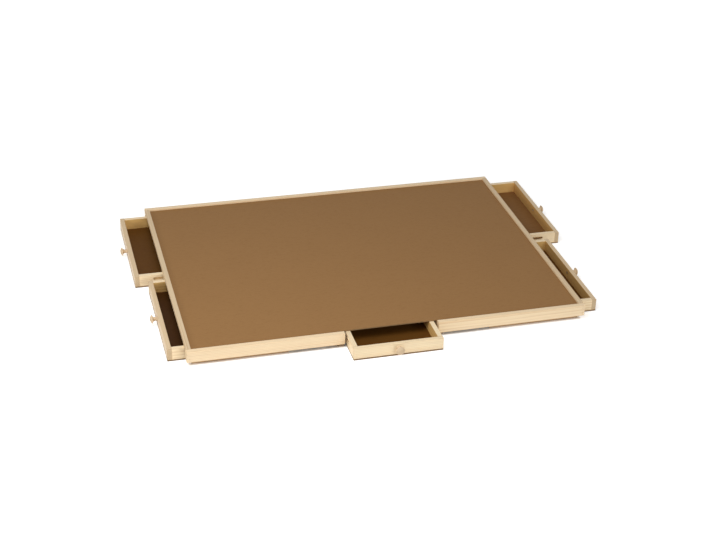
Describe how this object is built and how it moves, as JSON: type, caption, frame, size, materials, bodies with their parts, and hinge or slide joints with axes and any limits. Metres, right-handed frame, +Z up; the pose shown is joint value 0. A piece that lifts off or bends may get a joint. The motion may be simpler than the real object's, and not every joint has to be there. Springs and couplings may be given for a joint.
{
  "type": "jigsaw puzzle table",
  "caption": "Low tabletop puzzle board: raised pine rim round a brown fibreboard surface, with shallow knobbed drawers that slide out of its short sides and its front on wooden runners.",
  "frame": {"origin": "on the ground under the middle of the table, on the underside of the centre cross batten", "axes": "+X along the long side to the right, +Y from the front drawer to the back rail, +Z up"},
  "size_m": [1.041, 0.735, 0.0354],
  "materials": {
    "rail_pine": "clear satin",
    "drawer_pine": "clear satin",
    "batten_pine": "sawn",
    "turned_knob": "clear satin",
    "fibreboard": "smooth hardboard",
    "steel": "zinc plated"
  },
  "bodies": {
    "root": {"back_rail": "rail_pine", "centre_batten_left": "batten_pine", "centre_batten_right": "batten_pine", "centre_cross_batten": "batten_pine", "corner_batten_back_left": "batten_pine", "corner_batten_back_right": "batten_pine", "corner_batten_front_left": "batten_pine", "corner_batten_front_right": "batten_pine", "divider_batten_left": "batten_pine", "divider_batten_right": "batten_pine", "frame_nails": "steel", "front_rail_left": "rail_pine", "front_rail_right": "rail_pine", "front_runners": "batten_pine", "front_stop_batten": "batten_pine", "left_back_runners": "batten_pine", "left_front_runners": "batten_pine", "left_rail": "rail_pine", "right_back_runners": "batten_pine", "right_front_runners": "batten_pine", "right_rail": "rail_pine", "stop_batten_left": "batten_pine", "stop_batten_right": "batten_pine", "work_surface": "fibreboard"},
    "front_drawer": {"front_drawer_back": "drawer_pine", "front_drawer_bottom": "fibreboard", "front_drawer_front": "drawer_pine", "front_drawer_knob": "turned_knob", "front_drawer_knob_screw": "steel", "front_drawer_left_side": "drawer_pine", "front_drawer_right_side": "drawer_pine"},
    "left_back_drawer": {"left_back_drawer_back": "drawer_pine", "left_back_drawer_bottom": "fibreboard", "left_back_drawer_front": "drawer_pine", "left_back_drawer_knob": "turned_knob", "left_back_drawer_knob_screw": "steel", "left_back_drawer_left_side": "drawer_pine", "left_back_drawer_right_side": "drawer_pine"},
    "left_front_drawer": {"left_front_drawer_back": "drawer_pine", "left_front_drawer_bottom": "fibreboard", "left_front_drawer_front": "drawer_pine", "left_front_drawer_knob": "turned_knob", "left_front_drawer_knob_screw": "steel", "left_front_drawer_left_side": "drawer_pine", "left_front_drawer_right_side": "drawer_pine"},
    "right_back_drawer": {"right_back_drawer_back": "drawer_pine", "right_back_drawer_bottom": "fibreboard", "right_back_drawer_front": "drawer_pine", "right_back_drawer_knob": "turned_knob", "right_back_drawer_knob_screw": "steel", "right_back_drawer_left_side": "drawer_pine", "right_back_drawer_right_side": "drawer_pine"},
    "right_front_drawer": {"right_front_drawer_back": "drawer_pine", "right_front_drawer_bottom": "fibreboard", "right_front_drawer_front": "drawer_pine", "right_front_drawer_knob": "turned_knob", "right_front_drawer_knob_screw": "steel", "right_front_drawer_left_side": "drawer_pine", "right_front_drawer_right_side": "drawer_pine"}
  },
  "joints": [
    {"name": "left_back_slide", "type": "slide", "parent": "root", "child": "left_back_drawer", "axis": [-1, 0, 0], "range_m": [-0.0625, 0.0625]},
    {"name": "left_front_slide", "type": "slide", "parent": "root", "child": "left_front_drawer", "axis": [-1, 0, 0], "range_m": [-0.036, 0.089]},
    {"name": "right_back_slide", "type": "slide", "parent": "root", "child": "right_back_drawer", "axis": [1, 0, 0], "range_m": [-0.0765, 0.0485]},
    {"name": "right_front_slide", "type": "slide", "parent": "root", "child": "right_front_drawer", "axis": [1, 0, 0], "range_m": [-0.039, 0.086]},
    {"name": "front_slide", "type": "slide", "parent": "root", "child": "front_drawer", "axis": [0, -1, 0], "range_m": [-0.052, 0.073]}
  ]
}
